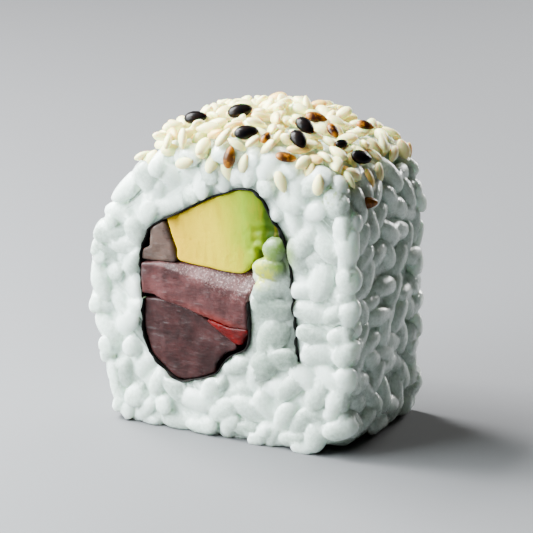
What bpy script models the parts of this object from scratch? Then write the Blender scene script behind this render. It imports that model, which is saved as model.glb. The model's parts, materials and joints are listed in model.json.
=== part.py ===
"""One cut piece of an uramaki roll, standing on its flat underside.

Metres, +Z up. The roll's axis lies along Y, with a cut face at each end, and
the origin is at the middle of the underside. Sizes below are in millimetres,
and a point of the cross-section is (x, z).
"""

import math
import random

import bmesh
import bpy
from mathutils import Matrix, Vector

MM = 0.001

# Driving dimensions
ROLL_WIDTH = 46.0
ROLL_HEIGHT = 48.2
ROLL_LENGTH = 25.4
GRAIN = (6.6, 3.7, 3.2)
SEED = (3.3, 2.0, 1.3)
NORI_THICKNESS = 0.5
GAP = 0.3

# How much narrower and lower the roll is at its front and at its back than midway
FRONT_TAPER = 0.04
BACK_TAPER = 0.02

# The rice behind the grains and the seeds that show
RELIEF = 1.2
TOP_RELIEF = 0.0
RIM_CHAMFER = 1.2

# Grains and seeds: how far apart they lie, and how many places are tried for them
GRAINS_APART = 4.5
FACE_GRAINS_APART = 4.3
SEEDS_APART = 4.0
TRIES = 2600
SEED_RISE = 0.2

# What part of its overhang a grain keeps where it would stand out of the roll's shape
SPRING = 0.3

# The outer line midway, as shares of half the width and of the height
SECTION = [
    (-0.69, 0.0), (-0.84, 0.09), (-0.95, 0.27), (-1.01, 0.47), (-0.93, 0.67),
    (-0.76, 0.83), (-0.44, 0.955), (0.0, 1.0), (0.44, 0.992), (0.80, 0.945),
    (0.975, 0.82), (1.005, 0.55), (0.99, 0.25), (0.97, 0.06), (0.72, 0.0),
]  # fmt: skip

# The sheet of nori, from its inner end beside the fish round to its outer end
NORI_PATH = [
    (5.1, 22.2), (5.0, 15.4), (1.6, 12.8), (-0.8, 9.8), (-4.6, 8.4),
    (-7.2, 8.0), (-11.2, 11.0), (-13.1, 14.8), (-13.2, 20.5), (-13.5, 26.5),
    (-12.2, 30.8), (-8.8, 33.5), (-0.3, 38.0), (3.8, 39.5), (6.5, 39.2),
    (9.1, 35.6), (11.2, 32.3), (12.5, 24.6), (13.4, 14.2),
]  # fmt: skip
NORI_BEHIND = 0.5

# Rice meets the filling between the sheet's two ends, along this line
TONGUE_WALL = [(8.9, 31.3), (7.1, 29.6), (6.4, 28.1), (6.7, 25.4), (5.9, 23.4)]

# Each strip of filling: its outline, and how far its cut stands behind the face
FILLINGS = {
    "avocado": ([
        (-8.6, 32.3), (-7.3, 28.5), (-6.9, 27.2), (-1.7, 26.8), (4.1, 27.0),
        (6.7, 29.9), (9.5, 32.9), (7.3, 36.8), (5.6, 38.5), (3.0, 38.2),
        (-1.7, 36.3), (-6.0, 34.1),
    ], 1.3),
    "tuna_corner": ([
        (-12.0, 29.8), (-12.7, 27.7), (-12.6, 26.4), (-9.0, 26.8),
        (-7.7, 27.2), (-8.2, 29.5), (-9.1, 31.9), (-10.6, 31.2),
    ], 0.7),
    "tuna_upper": ([
        (-12.7, 25.7), (-6.4, 26.4), (1.3, 26.4), (5.6, 26.4), (6.1, 25.2),
        (4.4, 21.5), (4.2, 18.4), (2.1, 18.1), (-3.9, 19.4), (-9.7, 20.8),
        (-12.5, 22.3),
    ], 0.2),
    "tuna_edge": ([
        (-1.9, 18.5), (2.1, 17.7), (4.1, 17.8), (4.2, 15.9), (3.2, 15.4),
        (0.2, 17.1),
    ], 0.4),
    "tuna_lower": ([
        (-11.9, 20.2), (-8.1, 19.6), (-4.1, 18.8), (-0.2, 16.9), (3.0, 14.8),
        (0.6, 13.3), (-1.3, 10.9), (-4.4, 9.6), (-7.7, 9.3), (-10.9, 12.2),
        (-12.3, 14.8), (-12.3, 18.5),
    ], 0.9),
}  # fmt: skip
ROUNDING = 0.4

# Colour and roughness of each finish
FINISHES = {
    "rice": ((0.86, 0.89, 0.85), 0.35),
    "nori": ((0.012, 0.016, 0.012), 0.5),
    "avocado": ((0.72, 0.70, 0.22), 0.45),
    "tuna_corner": ((0.28, 0.20, 0.18), 0.3),
    "tuna_upper": ((0.30, 0.13, 0.14), 0.3),
    "tuna_edge": ((0.45, 0.03, 0.02), 0.25),
    "tuna_lower": ((0.17, 0.09, 0.09), 0.3),
}

# Lengths of the steps along the outlines
STEP = 2.4
CORE_STEP = 3.4
FINE_STEP = 0.8


def spline(points, closed, step):
    """Points about a step apart on the smooth curve through the given ones."""
    count = len(points)
    made = []
    for i in range(count if closed else count - 1):
        near = (i - 1, i, i + 1, i + 2)
        if closed:
            a, b, c, d = (Vector(points[j % count]) for j in near)
        else:
            a, b, c, d = (Vector(points[min(max(j, 0), count - 1)]) for j in near)
        parts = max(1, round((c - b).length / step))
        for k in range(parts):
            t = k / parts
            bend = (2 * a - 5 * b + 4 * c - d) * t**2 + (3 * b - a - 3 * c + d) * t**3
            made.append(b + 0.5 * ((c - a) * t + bend))
    return made if closed else made + [Vector(points[-1])]


def offset(path, distance):
    """The open path moved sideways, to its left where the distance is positive."""
    moved = []
    for i, p in enumerate(path):
        along = (path[min(i + 1, len(path) - 1)] - path[max(i - 1, 0)]).normalized()
        moved.append(p + distance * Vector((-along.y, along.x)))
    return moved


def inside(outline, p):
    """Whether p lies in the closed outline, by its crossings on a line to the right."""
    odd = False
    for a, b in zip(outline, outline[1:] + outline[:1]):
        if (a.y > p.y) != (b.y > p.y):
            odd ^= p.x < a.x + (p.y - a.y) * (b.x - a.x) / (b.y - a.y)
    return odd


def nearest(points, p):
    return min(points, key=lambda q: (q - p).length)


def outer_line(inset, top_inset, step=STEP):
    """The closed outer line midway, clockwise from the underside's left end.

    One inset is taken off each side and the other off the top, none off the underside.
    """
    width = ROLL_WIDTH / 2 - inset
    height = ROLL_HEIGHT - top_inset
    line = spline([(u * width, v * height) for u, v in SECTION], True, step)
    return [Vector((p.x, max(p.y, 0.0))) for p in line]


def share_at(y):
    """How much of its width and height midway the roll still has at y."""
    taper = FRONT_TAPER if y < 0 else BACK_TAPER
    return 1 - taper * min(1, abs(y) / (ROLL_LENGTH / 2)) ** 3


def keyhole():
    """The hole in the rice: the filling's space and the slot of the nori's outer end."""
    clear = NORI_THICKNESS / 2 + GAP
    line = spline(NORI_PATH, False, STEP)
    wall = [Vector(p) for p in TONGUE_WALL]
    inner = offset(line, -clear)
    slot = inner[inner.index(nearest(inner, wall[0] + Vector((2, 2)))):]
    tip = line[-1] + clear * (line[-1] - line[-2]).normalized()
    corners = [tip + Vector((clear, 0)), tip - Vector((clear, 0))]
    return offset(line, clear) + corners + list(reversed(slot)) + wall


def finish(name):
    colour, roughness = FINISHES[name]
    material = bpy.data.materials.new(name)
    material.use_nodes = True
    shader = material.node_tree.nodes["Principled BSDF"]
    shader.inputs["Base Color"].default_value = (*colour, 1)
    shader.inputs["Roughness"].default_value = roughness
    shader.inputs["Metallic"].default_value = 0
    return material


def add_object(name, bm, collection=None):
    """An object of the shape, in triangles, because Booleans need flat faces."""
    bmesh.ops.recalc_face_normals(bm, faces=bm.faces)
    bmesh.ops.triangulate(bm, faces=bm.faces)
    mesh = bpy.data.meshes.new(name)
    bm.to_mesh(mesh)
    bm.free()
    made = bpy.data.objects.new(name, mesh)
    (collection or bpy.context.scene.collection).objects.link(made)
    return made


def dress(obj):
    """Gives the object its material and shades its round parts smooth."""
    obj.data.materials.clear()
    obj.data.materials.append(finish(obj.name))
    obj.data.shade_smooth()
    obj.data.set_sharp_from_angle(angle=math.radians(40))
    return obj


def extruded(outline, stops):
    """The outline's solid, drawn out along Y from the first stop through the others."""
    bm = bmesh.new()
    end = bm.faces.new([bm.verts.new((p.x * MM, stops[0] * MM, p.y * MM)) for p in outline])
    for y, after in zip(stops, stops[1:]):
        made = bmesh.ops.extrude_face_region(bm, geom=[end])["geom"]
        moved = [part for part in made if isinstance(part, bmesh.types.BMVert)]
        bmesh.ops.translate(bm, verts=moved, vec=(0, (after - y) * MM, 0))
        if y != stops[0]:
            bmesh.ops.delete(bm, geom=[end], context="FACES_ONLY")
        end = next(part for part in made if isinstance(part, bmesh.types.BMFace))
    return bm


def round_ends(bm, end, width):
    """Takes off the rims of the two end faces."""
    rims = [
        edge for edge in bm.edges
        if all(abs(abs(v.co.y) - end * MM) < 1e-6 for v in edge.verts)
    ]  # fmt: skip
    bmesh.ops.bevel(
        bm, geom=rims, offset=width * MM, segments=1, affect="EDGES", profile=0.5, material=-1
    )


def ellipsoid(size, segments, taper, bend):
    """A grain or seed lying along X, narrowed by the taper and curved by the bend."""
    bm = bmesh.new()
    bmesh.ops.create_uvsphere(bm, u_segments=segments, v_segments=3, radius=0.55)
    bmesh.ops.rotate(bm, verts=bm.verts, matrix=Matrix.Rotation(math.pi / 2, 3, "Y"))
    length, width, thickness = size
    for v in bm.verts:
        along = v.co.x / 0.55
        full = 1 - taper * along
        v.co = Vector((
            length * v.co.x * (1.1 if abs(along) < 0.9 else 0.91),
            width * v.co.y * full + bend * length * (1 - along**2),
            thickness * v.co.z * full,
        )) * MM  # fmt: skip
    return bm


def lying(point, normal, spin, tilt):
    """The place of a grain whose flat side faces along the normal."""
    rest = normal.to_track_quat("Z", "Y").to_matrix().to_4x4()
    turned = Matrix.Rotation(spin, 4, "Z") @ Matrix.Rotation(tilt, 4, "Y")
    return Matrix.Translation(point * MM) @ rest @ turned


def fit(mesh, line):
    """Moves what stands out of the roll's shape back to it, most of the way."""
    end = ROLL_LENGTH / 2
    for v in mesh.vertices:
        y = v.co.y / MM
        if abs(y) > end:
            y = math.copysign(end + SPRING * (abs(y) - end), y)
        p = Vector((v.co.x, v.co.z)) / MM
        if not inside(line, p):
            near = nearest(line, p)
            p = near + SPRING * (p - near)
        p *= share_at(y)
        v.co = Vector((p.x, y, p.y)) * MM


def on_skin(line, walked, y):
    """The point so far round the outer line, and the outward direction there."""
    for p, q in zip(line, line[1:] + line[:1]):
        length = (q - p).length
        if walked <= length:
            along = (q - p).normalized()
            at = p + walked * along
            return Vector((at.x, y, at.y)), Vector((-along.y, 0, along.x))
        walked -= length
    return Vector((line[0].x, y, line[0].y)), Vector((0, 0, -1))


def scatter(apart, propose):
    """Places that keep apart from each other, as (point, normal, spin, tilt)."""
    kept = []
    for _ in range(TRIES):
        place = propose()
        if place and all((place[0] - other[0]).length > apart for other in kept):
            kept.append(place)
    return kept


def side_grains(chance):
    """Grains round the outside, left out where the seeds or the floor hide them."""
    line = outer_line(GRAIN[2] / 2, GRAIN[2] / 2)
    length = sum((q - p).length for p, q in zip(line, line[1:] + line[:1]))
    reach = ROLL_LENGTH / 2 - GRAIN[2] / 2

    def propose():
        y = chance.uniform(-reach, reach)
        point, normal = on_skin(line, chance.uniform(0, length), y)
        if normal.z > 0.8 or (normal.z < -0.6 and abs(y) < reach - 2.5):
            return None
        return point, normal, chance.uniform(0, math.pi), chance.gauss(0, 0.08)

    return scatter(GRAINS_APART, propose)


def face_grains(chance, side):
    """Grains that show in a cut face, between the nori and the outer line."""
    outer = outer_line(GRAIN[2] / 2, GRAIN[2] / 2)
    hole = keyhole()
    face = side * (ROLL_LENGTH / 2 - GRAIN[2] / 2)

    def propose():
        width = chance.uniform(-ROLL_WIDTH / 2, ROLL_WIDTH / 2)
        p = Vector((width, chance.uniform(0, ROLL_HEIGHT)))
        if not inside(outer, p) or inside(hole, p) or (nearest(hole, p) - p).length < 1.3:
            return None
        normal = Vector((0, side, 0))
        return Vector((p.x, face, p.y)), normal, chance.uniform(0, math.pi), chance.gauss(0, 0.1)

    return scatter(FACE_GRAINS_APART, propose)


def top_seeds(chance):
    """Sesame on the top, thinning out down the shoulders."""
    line = outer_line(0.7, TOP_RELIEF - SEED_RISE)
    length = sum((q - p).length for p, q in zip(line, line[1:] + line[:1]))
    reach = ROLL_LENGTH / 2 - 0.9

    def propose():
        point, normal = on_skin(line, chance.uniform(0, length), chance.uniform(-reach, reach))
        if normal.z < 0.25 or chance.random() > (normal.z - 0.05) * 1.3:
            return None
        return point, normal, chance.uniform(0, 2 * math.pi), chance.gauss(0, 0.2)

    return scatter(SEEDS_APART, propose)


def add_pieces(collection, places, size, segments, taper, chance):
    """One closed object for each place, at an uneven size."""
    line = outer_line(0, -0.9, FINE_STEP)
    for place in places:
        grown = [s * chance.uniform(0.9, 1.1) for s in size]
        bm = ellipsoid(grown, segments, taper, chance.uniform(-0.04, 0.04))
        made = add_object("piece", bm, collection)
        made.data.transform(lying(*place))
        fit(made.data, line)


def combine(obj, operation, other):
    """Joins or cuts the object with another object, or with a collection of them."""
    modifier = obj.modifiers.new(operation, "BOOLEAN")
    modifier.operation = operation
    modifier.solver = "MANIFOLD"
    if isinstance(other, bpy.types.Collection):
        modifier.operand_type = "COLLECTION"
        modifier.collection = other
        used = list(other.objects)
    else:
        modifier.object = other
        used = [other]
    graph = bpy.context.evaluated_depsgraph_get()
    mesh = bpy.data.meshes.new_from_object(obj.evaluated_get(graph))
    obj.modifiers.clear()
    obj.data = mesh
    for spent in used:
        bpy.data.objects.remove(spent)


def bodies_of(bm):
    """The mesh's separate bodies, each a list of its faces."""
    left = set(bm.faces)
    while left:
        front = [left.pop()]
        body = list(front)
        while front:
            reached = {face for edge in front.pop().edges for face in edge.link_faces} & left
            left -= reached
            front += reached
            body += reached
        yield body


def keep_largest(mesh):
    """Leaves only the body with the most faces, without sealed hollows and scraps."""
    bm = bmesh.new()
    bm.from_mesh(mesh)
    bodies = sorted(bodies_of(bm), key=len)
    spare = [face for body in bodies[:-1] for face in body]
    bmesh.ops.delete(bm, geom=spare, context="FACES")
    bm.to_mesh(mesh)
    bm.free()


def add_core():
    """The rice behind the grains."""
    end = ROLL_LENGTH / 2 - RELIEF
    stops = [-end, -end / 2, end / 2, end]
    bm = extruded(outer_line(RELIEF, TOP_RELIEF, CORE_STEP), stops)
    for v in bm.verts:
        share = share_at(v.co.y / MM)
        v.co.x *= share
        v.co.z *= share
    round_ends(bm, end, RIM_CHAMFER)
    return add_object("rice", bm)


def add_rice():
    """The rice round the nori, with the grains and the seeds that show fused on."""
    chance = random.Random(7)
    rice = add_core()
    pieces = bpy.data.collections.new("pieces")
    bpy.context.scene.collection.children.link(pieces)
    for places in (side_grains(chance), face_grains(chance, -1), face_grains(chance, 1)):
        add_pieces(pieces, places, GRAIN, 5, 0.06, chance)
    add_pieces(pieces, top_seeds(chance), SEED, 4, 0.3, chance)
    combine(rice, "UNION", pieces)
    bpy.data.collections.remove(pieces)

    past = [-ROLL_LENGTH, ROLL_LENGTH]
    combine(rice, "DIFFERENCE", add_object("hole", extruded(keyhole(), past)))
    depth = Vector((0, -ROLL_HEIGHT))
    edge = Vector((ROLL_WIDTH, 0))
    below = [-edge, edge, edge + depth, depth - edge]
    combine(rice, "DIFFERENCE", add_object("floor", extruded(below, past)))
    keep_largest(rice.data)
    return dress(rice)


def add_nori():
    """The sheet, wound once round the filling."""
    end = ROLL_LENGTH / 2 - NORI_BEHIND
    bm = bmesh.new()
    line = spline(NORI_PATH, False, STEP)
    verts = [bm.verts.new((p.x * MM, -end * MM, p.y * MM)) for p in line]
    edges = [bm.edges.new(pair) for pair in zip(verts, verts[1:])]
    made = bmesh.ops.extrude_edge_only(bm, edges=edges)["geom"]
    moved = [part for part in made if isinstance(part, bmesh.types.BMVert)]
    bmesh.ops.translate(bm, verts=moved, vec=(0, 2 * end * MM, 0))
    nori = add_object("nori", bm)
    thicken = nori.modifiers.new("Thickness", "SOLIDIFY")
    thicken.thickness = NORI_THICKNESS * MM
    thicken.offset = 0
    thicken.use_even_offset = True
    return dress(nori)


def add_filling(name, outline, behind):
    """A strip of filling, from one cut face through to the other."""
    end = ROLL_LENGTH / 2 - behind
    bm = extruded(spline(outline, True, STEP), [-end, end])
    round_ends(bm, end, ROUNDING)
    return dress(add_object(name, bm))


def main():
    for old in list(bpy.data.objects):
        bpy.data.objects.remove(old)
    roll = bpy.data.objects.new("roll", None)
    bpy.context.scene.collection.objects.link(roll)
    pieces = [add_rice(), add_nori()]
    pieces += [add_filling(name, *shape) for name, shape in FILLINGS.items()]
    for piece in pieces:
        piece.parent = roll


main()
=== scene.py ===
"""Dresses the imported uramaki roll: cooked rice, sesame, nori, avocado and tuna.

The frame is in metres, +Z up, with the roll's axis along Y and its cut face towards -Y.
Sizes below are in millimetres, and a point of the cross-section is (x, z).
"""

import json
import math
import random

import bmesh
import bpy
import numpy as np
from mathutils import Matrix, Vector, noise
from mathutils.bvhtree import BVHTree

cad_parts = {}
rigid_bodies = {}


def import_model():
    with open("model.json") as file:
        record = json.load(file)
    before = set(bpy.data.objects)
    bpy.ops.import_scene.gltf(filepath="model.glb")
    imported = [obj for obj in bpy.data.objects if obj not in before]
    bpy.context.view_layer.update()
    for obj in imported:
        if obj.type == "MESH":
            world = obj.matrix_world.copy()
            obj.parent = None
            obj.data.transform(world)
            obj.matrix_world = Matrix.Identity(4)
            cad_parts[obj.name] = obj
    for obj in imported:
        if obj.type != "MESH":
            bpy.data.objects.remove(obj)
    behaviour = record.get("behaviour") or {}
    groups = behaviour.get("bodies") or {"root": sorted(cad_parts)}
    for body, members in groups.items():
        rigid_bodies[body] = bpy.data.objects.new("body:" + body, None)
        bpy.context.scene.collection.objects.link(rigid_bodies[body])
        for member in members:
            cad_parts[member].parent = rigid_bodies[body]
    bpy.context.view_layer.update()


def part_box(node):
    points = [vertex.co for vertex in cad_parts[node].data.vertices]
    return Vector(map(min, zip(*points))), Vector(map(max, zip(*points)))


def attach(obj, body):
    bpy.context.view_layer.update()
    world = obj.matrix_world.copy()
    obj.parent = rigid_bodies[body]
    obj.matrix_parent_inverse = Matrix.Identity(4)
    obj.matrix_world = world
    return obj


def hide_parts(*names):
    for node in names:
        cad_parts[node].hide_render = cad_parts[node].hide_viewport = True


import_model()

bl_info = {
    "name": "Uramaki Roll",
    "version": (1, 0, 0),
    "blender": (4, 5, 0),
    "location": "3D View > Sidebar > Roll",
    "description": "Dresses the packed uramaki roll with rice, sesame, nori, avocado and tuna",
    "category": "Object",
}

MM = 0.001
RICE_LOW, RICE_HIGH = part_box("rice")

# The roll's outer line midway, as shares of half the width and of the height
SECTION = [
    (-0.69, 0.0), (-0.84, 0.09), (-0.95, 0.27), (-1.01, 0.47), (-0.93, 0.67),
    (-0.76, 0.83), (-0.44, 0.955), (0.0, 1.0), (0.44, 0.992), (0.80, 0.945),
    (0.975, 0.82), (1.005, 0.55), (0.99, 0.25), (0.97, 0.06), (0.72, 0.0),
]  # fmt: skip
FRONT_TAPER = 0.04
BACK_TAPER = 0.02

# The sheet of nori, from its inner end beside the fish round to its outer end
NORI_PATH = [
    (5.1, 22.2), (5.0, 15.4), (1.6, 12.8), (-0.8, 9.8), (-4.6, 8.4),
    (-7.2, 8.0), (-11.2, 11.0), (-13.1, 14.8), (-13.2, 20.5), (-13.5, 26.5),
    (-12.2, 30.8), (-8.8, 33.5), (-0.3, 38.0), (3.8, 39.5), (6.5, 39.2),
    (9.1, 35.6), (11.2, 32.3), (12.5, 24.6), (13.4, 14.2),
]  # fmt: skip
NORI_CRINKLE = 0.22
NORI_CREASES = 2.6

# Where the sheet's front edge is torn and stands out, and how far round
TEAR_REACH = 1.5
NORI_TEARS = [(11.4, 33.2), (12.8, 23.2), (-8.4, 33.8), (6.9, 38.9)]

# Rice meets the filling between the sheet's two ends, along this line
TONGUE_WALL = [(8.9, 31.3), (7.1, 29.6), (6.4, 28.1), (6.7, 25.4), (5.9, 23.4)]

# The fillings' outlines, and how far each cut stands behind the face
AVOCADO = ([
    (-8.6, 32.3), (-7.4, 28.5), (-7.0, 26.9), (-1.7, 26.4), (4.1, 26.4),
    (6.7, 29.9), (9.5, 32.9), (7.3, 36.8), (5.6, 38.5), (3.0, 38.2),
    (-1.7, 36.3), (-6.0, 34.1),
], 0.9)  # fmt: skip
TUNA = {
    "tuna_corner": ([
        (-11.9, 30.4), (-12.1, 28.6), (-12.7, 26.4), (-9.0, 26.4),
        (-7.2, 26.8), (-7.8, 29.5), (-8.8, 32.0), (-10.4, 31.4),
    ], 0.7),
    "tuna_upper": ([
        (-12.7, 25.7), (-6.4, 26.4), (1.3, 26.4), (5.6, 26.4), (6.1, 25.2),
        (4.4, 21.5), (4.2, 18.4), (2.1, 18.1), (-3.9, 19.4), (-9.7, 20.8),
        (-12.5, 22.3),
    ], 0.2),
    "tuna_edge": ([
        (-1.9, 18.5), (2.1, 17.7), (4.1, 17.8), (4.2, 15.9), (3.2, 15.4),
        (0.2, 17.1),
    ], 0.4),
    "tuna_lower": ([
        (-11.9, 20.2), (-8.6, 20.2), (-4.1, 19.1), (-0.2, 17.0), (3.0, 14.8),
        (0.6, 13.3), (-1.3, 10.9), (-4.4, 9.6), (-7.7, 9.3), (-10.9, 12.2),
        (-12.3, 14.8), (-12.3, 18.5),
    ], 0.9),
}  # fmt: skip

# The grains that stand out most on the cut face: (x, z, heading in degrees, length, width)
FACE_GRAINS = [
    (9.8, 31.0, 70, 4.6, 3.7), (8.8, 28.2, 4, 5.6, 3.9), (9.0, 25.1, 20, 6.6, 4.4),
    (9.4, 21.8, -14, 7.4, 4.8), (9.3, 17.6, 62, 7.0, 5.0), (11.0, 14.0, 15, 6.4, 4.4),
    (7.4, 12.6, 50, 6.8, 4.6), (17.2, 27.8, 76, 6.9, 4.6), (14.6, 33.4, 60, 6.0, 3.7),
    (15.8, 22.6, -8, 6.4, 3.9), (17.3, 16.2, 12, 6.8, 4.4), (19.9, 22.9, 30, 5.0, 3.4),
    (16.9, 10.0, 66, 6.6, 4.2), (5.4, 5.6, -20, 6.2, 3.8),
    (16.9, 3.2, 78, 6.4, 4.0), (21.0, 4.8, 22, 5.4, 3.7), (13.2, 1.9, 10, 6.0, 3.2),
    (0.6, 4.4, 30, 6.6, 4.0), (-4.2, 5.2, -12, 6.4, 3.8), (20.4, 9.6, 78, 5.6, 3.4),
    (22.4, 23.6, 70, 4.8, 3.6), (22.3, 17.4, 58, 4.8, 3.5),
    (22.2, 34.0, 100, 5.2, 3.6), (22.0, 12.8, 95, 4.6, 3.4), (22.3, 28.9, 120, 4.6, 3.5),
    (11.6, 5.0, 62, 6.8, 3.6),
]  # fmt: skip

# The rice's tone from 0 to 1, for how much light it lets through and how much painted shade it has: between
# the grains, a painted shade, and in the grains beside the filling, painted shade with their own glassy look
CREVICE_SHADE_TONE = 0.6
WEDGE_THIN_AND_SHADE_TONE = 0.62

# The rice behind the grains: how far inside the outer line it is, and how far behind the faces
CORE_INSET = 1.4
CORE_BEHIND = 0.95

# How far behind the faces the grains' middles are: those placed by hand, the rest, and a row behind
SHOWN_BEHIND = 1.1
GRAINS_BEHIND = 1.3
DEEP_BEHIND = 2.6

# The least distance between two grains, and between two of the row behind
GRAINS_APART = 2.9
DEEP_APART = 4.2

# The share of the grains on the faces that lie flat
FLAT_SHARE = 0.82

# How much of what stands out of the roll's shape a pressed grain keeps
SIDE_SPRING = 0.12
FACE_SPRING = 0.3
SHOWN_SPRING = 0.5
RIM_SPRING = 0.85

# Seeds on the top that stand out and lean to the front right: (kind, x, y, heading in degrees, size)
TOP_SEEDS = [
    ("black", -6.0, -7.0, 25, 1.0), ("black", -0.7, -3.2, 50, 1.1), ("black", 4.5, -11.3, 50, 1.05),
    ("black", 11.0, -5.8, -18, 1.0), ("black", 11.8, -9.2, -32, 1.0), ("black", 16.2, -4.4, 70, 0.6),
    ("black", 19.0, -3.6, 50, 0.95),
    ("toasted", 10.6, -1.4, 25, 0.9), ("toasted", 15.6, 5.0, 30, 0.8), ("toasted", 14.5, -4.1, -30, 0.85),
    ("toasted", 7.6, -11.3, 100, 0.8), ("toasted", 11.7, -12.0, 25, 0.9),
]  # fmt: skip

# How high over the rice they lie, and which way they lean
SHOWN_LEVEL = 2.5
SHOWN_LEAN = Vector((0.3, -0.5, 0.1))

# Sesame strewn on the top: how many tries there are, and after what share of them the shown seeds go on
SEED_TRIES = 1700
SHOWN_AFTER = 0.4

# The shares of the strewn seeds that stand up and that are toasted
UPRIGHT_SHARE = 0.2
TOASTED_SHARE = 0.012

# A black seed's length, width and thickness
BLACK_SEED = (3.6, 2.5, 1.6)

# How high the middle of a seed is over the rice at cling 0, and how much lower it is at cling 1
LOOSE_LIFT = 1.2
CLING_DROP = 1.15

# Seeds on the cut face and on the right side: (kind, face x or side y, z, heading in degrees)
FACE_SEEDS = [
    ("cream", 10.9, 41.7, -70), ("cream", 17.0, 42.0, 86), ("cream", -0.9, 43.0, 80),
    ("cream", -5.2, 42.6, 20), ("cream", 1.4, 41.9, -75), ("cream", -12.0, 42.0, 40),
    ("cream", 14.8, 43.6, 80), ("cream", -8.4, 43.9, 10),
    ("cream", 4.6, 43.6, 70), ("toasted", 2.4, 44.4, 80),
]  # fmt: skip
SIDE_SEEDS = [
    ("toasted", -7.0, 38.6, 3), ("cream", -10.9, 42.2, 84), ("cream", -9.2, 43.4, 80),
    ("cream", -5.4, 41.2, 82), ("cream", -2.2, 41.4, 75), ("cream", 9.1, 41.6, 70),
    ("cream", 1.6, 43.4, 15), ("cream", -6.9, 44.2, 78),
]  # fmt: skip

# The inputs of a noise and of a range, in the order in which their values are given
NOISE = ("Vector", "Scale", "Detail", "Roughness")
RANGE = ("Value", "From Min", "From Max", "To Min", "To Max")
SMOOTH = {"interpolation_type": "SMOOTHSTEP"}

# A mix of two colours has its share at input 0, the colours at 6 and 7 and its result at output 2
COLOUR_MIX = {"out": 2, "data_type": "RGBA"}

# Lights: (name, azimuth and elevation in degrees, distance and size in metres, watts, tint)
LIGHTS = [
    ("key", -91, 50, 0.5, 0.3, 17, (0.99, 0.995, 1)),
    ("left", -52, 34, 0.22, 0.2, 3.0, (0.92, 0.99, 1)),
    ("rim", 172, 16, 0.5, 0.15, 2.0, (1, 1, 0.98)),
]
WORLD_COLOUR = "#D6CDB0"
WORLD_STRENGTH = 0.035

# Camera, by where it stands and where its target shows in the photograph
IMAGE_PX = 533
FOCAL_PX = 2600
TARGET_PX = (256, 275)
TARGET_HEIGHT = 22.5
CAMERA_DISTANCE = 400
CAMERA_AZIMUTH = 28
CAMERA_ELEVATION = 17


def linear(code, alpha=1.0):
    """The linear colour of an sRGB hex code."""
    parts = [int(code[i : i + 2], 16) / 255 for i in (1, 3, 5)]
    parts = [c / 12.92 if c <= 0.04045 else ((c + 0.055) / 1.055) ** 2.4 for c in parts]
    return (*parts, alpha)


def length(name, description, default):
    return bpy.props.FloatProperty(
        name=name, description=description, default=default, min=0, subtype="DISTANCE", unit="LENGTH"
    )


def colour(name, description, code):
    return bpy.props.FloatVectorProperty(
        name=name, description=description, default=linear(code), size=4, min=0, max=1, subtype="COLOR"
    )


class RollSizes(bpy.types.PropertyGroup):
    """Sizes that a user would change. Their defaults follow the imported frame."""

    width: length("Width", "Width of the rice midway along the roll", RICE_HIGH.x - RICE_LOW.x - 0.3 * MM)
    height: length("Height", "Height of the rice under the sesame", RICE_HIGH.z - 2.3 * MM)
    length: length("Length", "Distance between the two cut faces", RICE_HIGH.y - RICE_LOW.y - 0.7 * MM)
    grain_length: length("Grain length", "Length of a cooked grain", 6.3 * MM)
    grain_width: length("Grain width", "Width of a cooked grain", 3.5 * MM)
    grain_thickness: length("Grain thickness", "Thickness of a cooked grain", 2.8 * MM)
    seed_length: length("Seed length", "Length of a sesame seed", 3.3 * MM)
    seed_width: length("Seed width", "Width of a sesame seed", 2.0 * MM)
    seed_thickness: length("Seed thickness", "Thickness of a sesame seed", 1.25 * MM)
    nori_thickness: length("Nori thickness", "Thickness of the sheet of nori", 0.17 * MM)


class RollColours(bpy.types.PropertyGroup):
    """Colours of the pieces."""

    rice: colour("Rice", "Cooked white rice", "#E7F4EB")
    # The thin colour also paints shade: between the grains, on the grains beside the filling and on the
    # outside.
    rice_thin_and_shade: colour("Rice, thin", "Where a grain lets light through", "#86988A")
    stain: colour("Stain", "Rice stained by the avocado", "#5F8010")
    smear: colour("Smear", "Avocado rubbed into the rice", "#B8BE00")
    cream: colour("Sesame", "Hulled white sesame", "#FFF9B4")
    golden: colour("Sesame, golden", "Lightly roasted sesame", "#E2B044")
    toasted: colour("Toasted sesame", "The rim of a toasted seed", "#925800")
    scorched: colour("Scorched sesame", "The middle of a toasted seed", "#260B03")
    black: colour("Black sesame", "Unhulled black sesame", "#040406")
    nori: colour("Nori", "Roasted seaweed", "#080907")
    nori_edge: colour("Nori, thin", "Torn edges of the seaweed", "#2A1A10")
    avocado_pale: colour("Avocado, inner", "Flesh beside the stone", "#D6AE00")
    avocado_mid: colour("Avocado, middle", "Flesh midway", "#D2BE00")
    avocado_green: colour("Avocado, outer", "Flesh near the skin", "#86A000")
    avocado_rim: colour("Avocado, rim", "Flesh at the skin", "#243C00")
    avocado_strand: colour("Avocado, strands", "Strands and spots in the flesh", "#A87C00")
    tuna_upper: colour("Tuna, upper", "Upper slab of tuna", "#502E2E")
    tuna_warm: colour("Tuna, lower edge", "The upper slab's lower edge", "#6A1C14")
    # A painted sheen: light glints along the upper slab's top.
    tuna_painted_sheen: colour("Tuna, specks", "Wet specks along the upper slab's top", "#C9A9A6")
    tuna_lower: colour("Tuna, lower", "Lower piece of tuna", "#361D1D")
    tuna_corner: colour("Tuna, corner", "Pale piece of tuna", "#52413A")
    tuna_edge: colour("Tuna, red", "Dark red strip of tuna", "#5C0000")
    floor: colour("Floor", "Plain stage", "#626365")


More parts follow.
